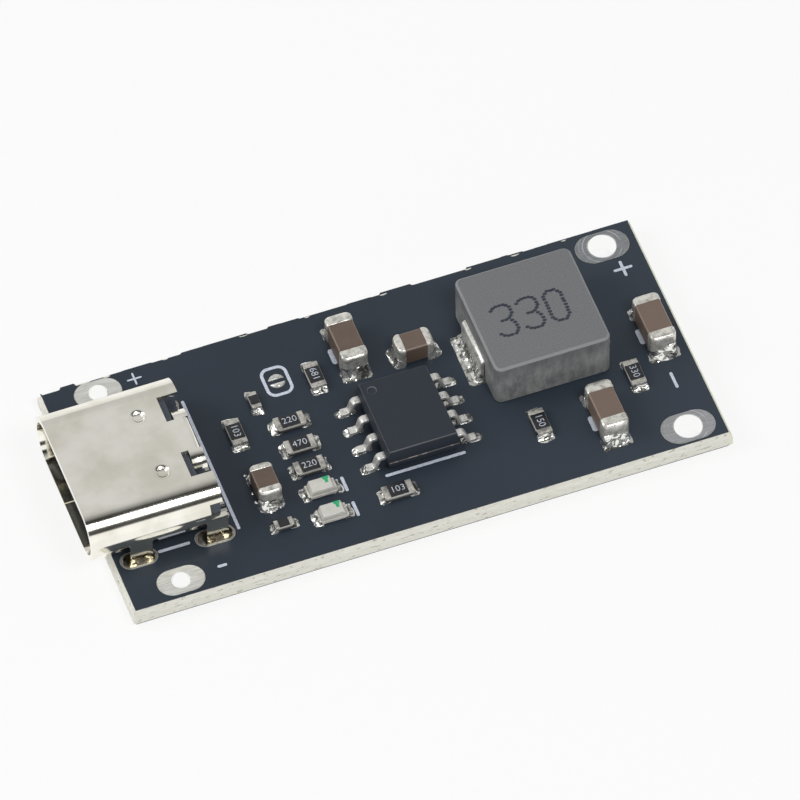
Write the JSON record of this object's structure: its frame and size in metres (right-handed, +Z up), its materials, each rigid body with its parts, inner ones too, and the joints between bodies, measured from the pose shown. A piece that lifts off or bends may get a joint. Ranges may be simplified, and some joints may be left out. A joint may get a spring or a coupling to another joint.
{
  "type": "lithium battery charger module",
  "caption": "Small black circuit board with a type C receptacle at one end, charger chip, square inductor, indicator lamps and plated wire holes at its corners.",
  "frame": {"origin": "centre of the board's underside, at its outline's middle", "axes": "+X to the battery end, away from the receptacle's mouth; +Y to the positive terminals; +Z up through the components"},
  "size_m": [0.0337, 0.015, 0.0045],
  "materials": {
    "laminate": "woven glass laminate, cream, fibrous where it is cut",
    "solder_mask": "black solder mask, smooth satin",
    "white_print": "thin white printed ink, matt",
    "plated_tin": "levelled tin over copper, lightly scratched",
    "shell_steel": "nickel plated stainless sheet, smooth",
    "black_moulding": "black heat resistant moulding",
    "contact_gold": "gold plated copper alloy",
    "solder": "bright tin solder, smooth and glossy",
    "chip_resin": "moulded resin, fine matt texture",
    "lead_tin": "matt tin plate",
    "inductor_grey": "pressed iron powder, grey coated, fine speckle",
    "capacitor_brown": "fired brown ceramic, satin",
    "alumina": "white fired alumina",
    "black_glaze": "black glassy overcoat",
    "lamp_base_white": "white laminate base",
    "lamp_lens_cream": "cream tinted clear resin"
  },
  "bodies": {
    "root": {"laminate_core": "laminate", "solder_mask_top": "solder_mask", "solder_mask_bottom": "solder_mask", "printed_lines": "white_print", "battery_plus_terminal": "plated_tin", "battery_minus_terminal": "plated_tin", "input_plus_terminal": "plated_tin", "input_minus_terminal": "plated_tin", "leg_slot_plating": "plated_tin", "component_pads": "plated_tin", "connector_shell": "shell_steel", "connector_moulding": "black_moulding", "connector_tongue": "black_moulding", "connector_mid_plate": "shell_steel", "connector_upper_contacts": "contact_gold", "connector_lower_contacts": "contact_gold", "connector_leg_solder": "solder", "charger_chip_body": "chip_resin", "charger_chip_leads": "lead_tin", "charger_chip_heat_pad": "lead_tin", "inductor_core": "inductor_grey", "inductor_terminals": "lead_tin", "output_capacitor_a_body": "capacitor_brown", "output_capacitor_a_caps": "lead_tin", "output_capacitor_b_body": "capacitor_brown", "output_capacitor_b_caps": "lead_tin", "input_capacitor_body": "capacitor_brown", "input_capacitor_caps": "lead_tin", "boost_capacitor_body": "capacitor_brown", "boost_capacitor_caps": "lead_tin", "filter_capacitor_body": "capacitor_brown", "filter_capacitor_caps": "lead_tin", "resistor_a_body": "alumina", "resistor_b_body": "alumina", "resistor_c_body": "alumina", "resistor_d_body": "alumina", "resistor_e_body": "alumina", "resistor_f_body": "alumina", "resistor_g_body": "alumina", "resistor_h_body": "alumina", "resistor_overcoats": "black_glaze", "resistor_ends": "lead_tin", "tiny_resistor_a_body": "alumina", "tiny_resistor_b_body": "alumina", "tiny_resistor_overcoats": "black_glaze", "tiny_resistor_ends": "lead_tin", "charge_lamp_base": "lamp_base_white", "charge_lamp_lens": "lamp_lens_cream", "full_lamp_base": "lamp_base_white", "full_lamp_lens": "lamp_lens_cream", "lamp_ends": "lead_tin", "solder_fillets": "solder"}
  },
  "joints": []
}
